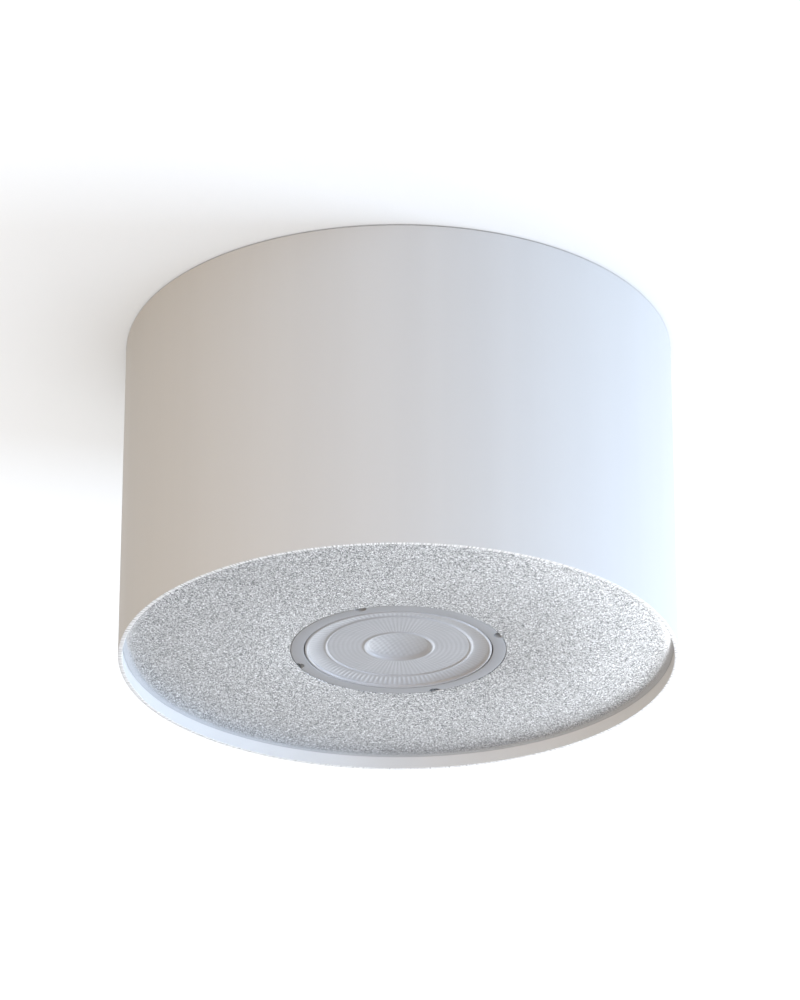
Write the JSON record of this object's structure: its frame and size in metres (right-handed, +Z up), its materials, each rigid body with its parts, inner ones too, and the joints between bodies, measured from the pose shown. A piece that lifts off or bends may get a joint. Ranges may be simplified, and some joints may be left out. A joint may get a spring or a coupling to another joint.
{
  "type": "surface-mounted ceiling spotlight",
  "caption": "Round white surface-mounted ceiling spotlight: a drum with a recessed sparkling silver face plate and a twist-in reflector lamp behind a clear prismatic lens.",
  "frame": {"origin": "centre of the mounting bar's upper face, which lies against the ceiling", "axes": "+Z up into the ceiling, along the drum's axis; X along the mounting bar"},
  "size_m": [0.13, 0.13, 0.08],
  "materials": {
    "white_paint": "satin white powder coat",
    "sparkle_silver": "silver with a fine sparkle grain",
    "galvanised_steel": "galvanised sheet steel",
    "zinc_plated": "bright zinc plating",
    "brass": "plain turned brass",
    "ceramic": "off-white steatite ceramic",
    "nickel": "nickel plating",
    "natural_plastic": "natural nylon",
    "grey_bezel": "matt grey moulding",
    "clear_acrylic": "clear prismatic acrylic",
    "lamp_shell": "light grey heat-conducting plastic",
    "lamp_base_plastic": "white heat-resistant plastic",
    "circuit_board": "white solder mask",
    "phosphor": "yellow phosphor",
    "dark_ferrite": "black",
    "brown_sleeve": "brown silicone sleeve",
    "blue_sleeve": "blue silicone sleeve"
  },
  "bodies": {
    "ceiling_mount": {"mounting_bar": "galvanised_steel"},
    "luminaire": {"drum": "white_paint", "top_ring": "galvanised_steel", "front_plate": "sparkle_silver", "pillar_1": "brass", "pillar_2": "brass", "pillar_3": "brass", "pillar_screw_1": "zinc_plated", "pillar_screw_2": "zinc_plated", "pillar_screw_3": "zinc_plated", "lampholder_bracket": "galvanised_steel", "bracket_screw_1": "zinc_plated", "bracket_screw_2": "zinc_plated", "lampholder": "ceramic", "holder_cap": "ceramic", "holder_screw_1": "zinc_plated", "holder_screw_2": "zinc_plated", "contact_spring_1": "nickel", "contact_spring_2": "nickel", "terminal_block": "natural_plastic", "terminal_tube_1": "brass", "terminal_tube_2": "brass", "terminal_tube_3": "brass", "clamp_screw_1": "zinc_plated", "clamp_screw_2": "zinc_plated", "clamp_screw_3": "zinc_plated", "clamp_screw_4": "zinc_plated", "clamp_screw_5": "zinc_plated", "clamp_screw_6": "zinc_plated", "terminal_block_screw": "zinc_plated", "live_lead": "brown_sleeve", "neutral_lead": "blue_sleeve"},
    "lamp": {"lamp_bezel": "grey_bezel", "lens": "clear_acrylic", "lamp_body": "lamp_shell", "lamp_base": "lamp_base_plastic", "lamp_pin_1": "nickel", "lamp_pin_2": "nickel", "led_board": "circuit_board", "led_array": "phosphor", "driver_board": "circuit_board", "driver_coil": "dark_ferrite", "driver_capacitor": "dark_ferrite"}
  },
  "joints": [
    {"name": "drum_twist", "type": "hinge", "parent": "ceiling_mount", "child": "luminaire", "pos_m": [0, 0, -0.005], "axis": [0, 0, -1], "range_deg": [0, 40]},
    {"name": "lamp_twist", "type": "hinge", "parent": "luminaire", "child": "lamp", "pos_m": [0, 0, -0.0271], "axis": [0, 0, -1], "range_deg": [0, 30]}
  ]
}
